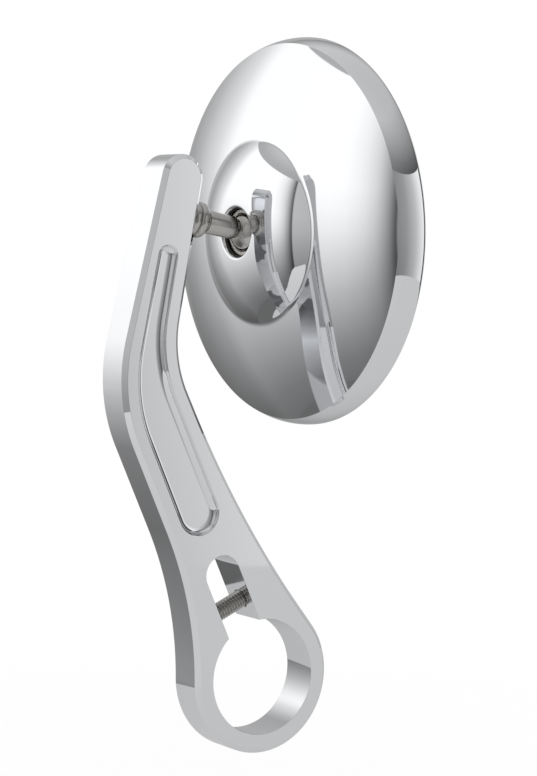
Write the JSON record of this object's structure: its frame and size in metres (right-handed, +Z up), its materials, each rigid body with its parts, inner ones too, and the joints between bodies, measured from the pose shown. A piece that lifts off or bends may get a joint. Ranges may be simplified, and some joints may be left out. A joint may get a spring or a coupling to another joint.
{
  "type": "motorcycle bar end mirror",
  "caption": "Round bar end mirror: a flat angled arm with a split keyhole clamp carries a domed round head on a ball stud.",
  "frame": {"origin": "centre of the handlebar clamp bore, halfway through the arm's thickness", "axes": "+X from the arm towards the mirror head, +Y along the handlebar bore away from the viewer, +Z up along the arm"},
  "size_m": [0.0514, 0.0847, 0.1559],
  "materials": {
    "polished_chrome": "mirror polished chrome on metal",
    "screw_steel": "plain turned stainless steel",
    "stud_steel": "warm grey turned stainless steel",
    "spring_steel": "dark blued spring steel",
    "liner_plastic": "natural acetal liner",
    "cartridge_brass": "plain turned brass",
    "backing_plastic": "black moulded plastic",
    "black_foam": "black foam mounting tape",
    "black_rubber": "matt black rubber",
    "mirror_coated_glass": "slightly convex silvered glass"
  },
  "bodies": {
    "arm_body": {"arm": "polished_chrome", "clamp_screw": "screw_steel", "clamp_lock_washer": "screw_steel", "ball_stud": "stud_steel", "stud_washer": "stud_steel"},
    "liner_body": {"ball_liner": "liner_plastic"},
    "cartridge_body": {"seat_ring": "cartridge_brass", "pressure_cup": "cartridge_brass", "thrust_washer": "screw_steel"},
    "head_body": {"housing_shell": "polished_chrome", "dust_ring": "black_rubber", "disc_spring_rear": "spring_steel", "disc_spring_front": "spring_steel", "retaining_plate": "screw_steel", "retainer_screws": "screw_steel", "backing_plate": "backing_plastic", "foam_pad": "black_foam", "mirror_glass": "mirror_coated_glass", "edge_seal": "black_rubber"}
  },
  "joints": [
    {"name": "pan", "type": "hinge", "parent": "arm_body", "child": "liner_body", "pos_m": [0.00047, 0, 0.09669], "axis": [0, 0, 1], "range_deg": [-20, 16]},
    {"name": "tilt", "type": "hinge", "parent": "liner_body", "child": "cartridge_body", "pos_m": [0.00047, 0, 0.09669], "axis": [-0.0335, 0.9994, 0], "range_deg": [-7, 29]},
    {"name": "spin", "type": "hinge", "parent": "cartridge_body", "child": "head_body", "pos_m": [0.00047, 0, 0.09669], "axis": [0.9994, 0.0335, 0], "continuous": true}
  ]
}
